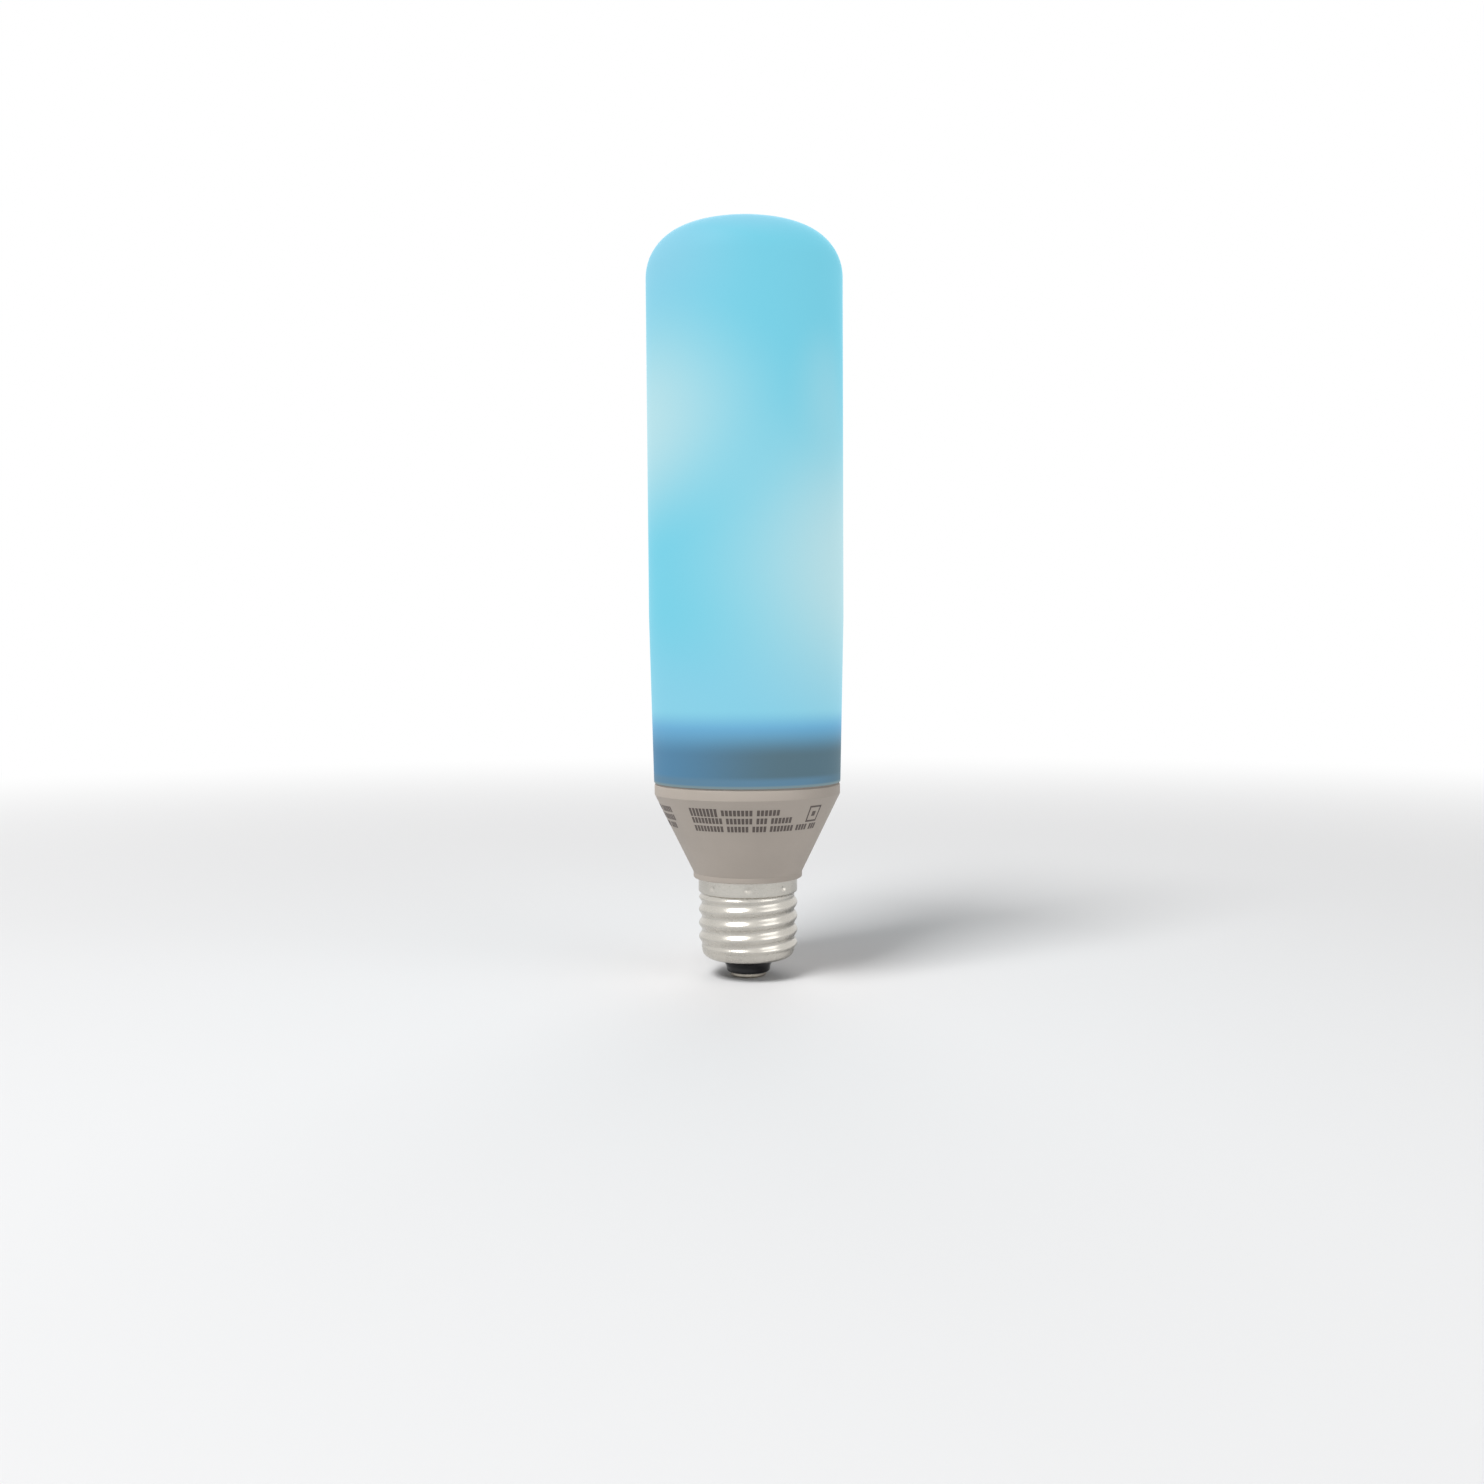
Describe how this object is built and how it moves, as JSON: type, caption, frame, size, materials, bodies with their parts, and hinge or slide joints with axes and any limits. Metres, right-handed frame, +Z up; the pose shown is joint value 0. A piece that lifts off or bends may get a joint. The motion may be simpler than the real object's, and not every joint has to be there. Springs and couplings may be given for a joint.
{
  "type": "led tube bulb",
  "caption": "Tall tubular LED bulb with a frosted cylindrical diffuser, a short tapered housing and a 26 mm screw cap, lit cyan.",
  "frame": {"origin": "centre of the centre contact's bottom face, the lowest point of the bulb, on the tube's axis", "axes": "+Z up along the tube from the screw cap to the crown, +Y away from the side that the picture shows, +X to the picture's right"},
  "size_m": [0.051, 0.051, 0.1934],
  "materials": {
    "opal_tube": "satin frosted polycarbonate, lit from inside",
    "housing_plastic": "fine spark texture, warm grey",
    "seal_rubber": "matt grey silicone",
    "cap_metal": "nickel plated, rolled",
    "contact_metal": "tinned, satin",
    "insulator_black": "moulded, glossy",
    "aluminium": "mill finish",
    "thermal_tape": "matt adhesive tape",
    "white_board": "white solder mask",
    "led_resin": "clear resin over phosphor",
    "white_plastic": "moulded",
    "green_board": "green solder mask",
    "black_plastic": "moulded",
    "can_sleeve": "shrunk sleeve",
    "film_case": "moulded",
    "ferrite": "ground",
    "copper_winding": "enamelled wire",
    "winding_tape": "polyester tape",
    "resistor_coat": "painted",
    "varistor_coat": "epoxy coated",
    "tin_plate": "tin plated sheet",
    "screw_steel": "zinc plated",
    "white_wire": "insulated wire",
    "red_wire": "insulated wire"
  },
  "bodies": {
    "root": {"board_header": "black_plastic", "bridge_rectifier": "black_plastic", "cap_insulator": "insulator_black", "carrier_plate": "aluminium", "centre_contact": "contact_metal", "choke_core": "ferrite", "choke_winding": "copper_winding", "control_board": "green_board", "diffuser": "opal_tube", "diffuser_seal": "seal_rubber", "driver_board": "green_board", "driver_sleeve": "white_plastic", "film_capacitor": "film_case", "fuse_resistor": "resistor_coat", "heat_sink_cup": "aluminium", "housing": "housing_plastic", "input_capacitor": "can_sleeve", "led_board": "white_board", "led_controller": "black_plastic", "led_lead": "white_wire", "led_plug": "white_plastic", "led_post": "aluminium", "live_lead": "red_wire", "neutral_tab": "contact_metal", "output_capacitor": "can_sleeve", "plate_screws": "screw_steel", "post_lid": "white_plastic", "radio_can": "tin_plate", "screw_shell": "cap_metal", "side_leds": "led_resin", "switching_chip": "black_plastic", "thermal_tape": "thermal_tape", "top_led_board": "white_board", "top_leds": "led_resin", "transformer_bobbin": "black_plastic", "transformer_core": "ferrite", "transformer_winding": "winding_tape", "varistor": "varistor_coat"}
  },
  "joints": []
}
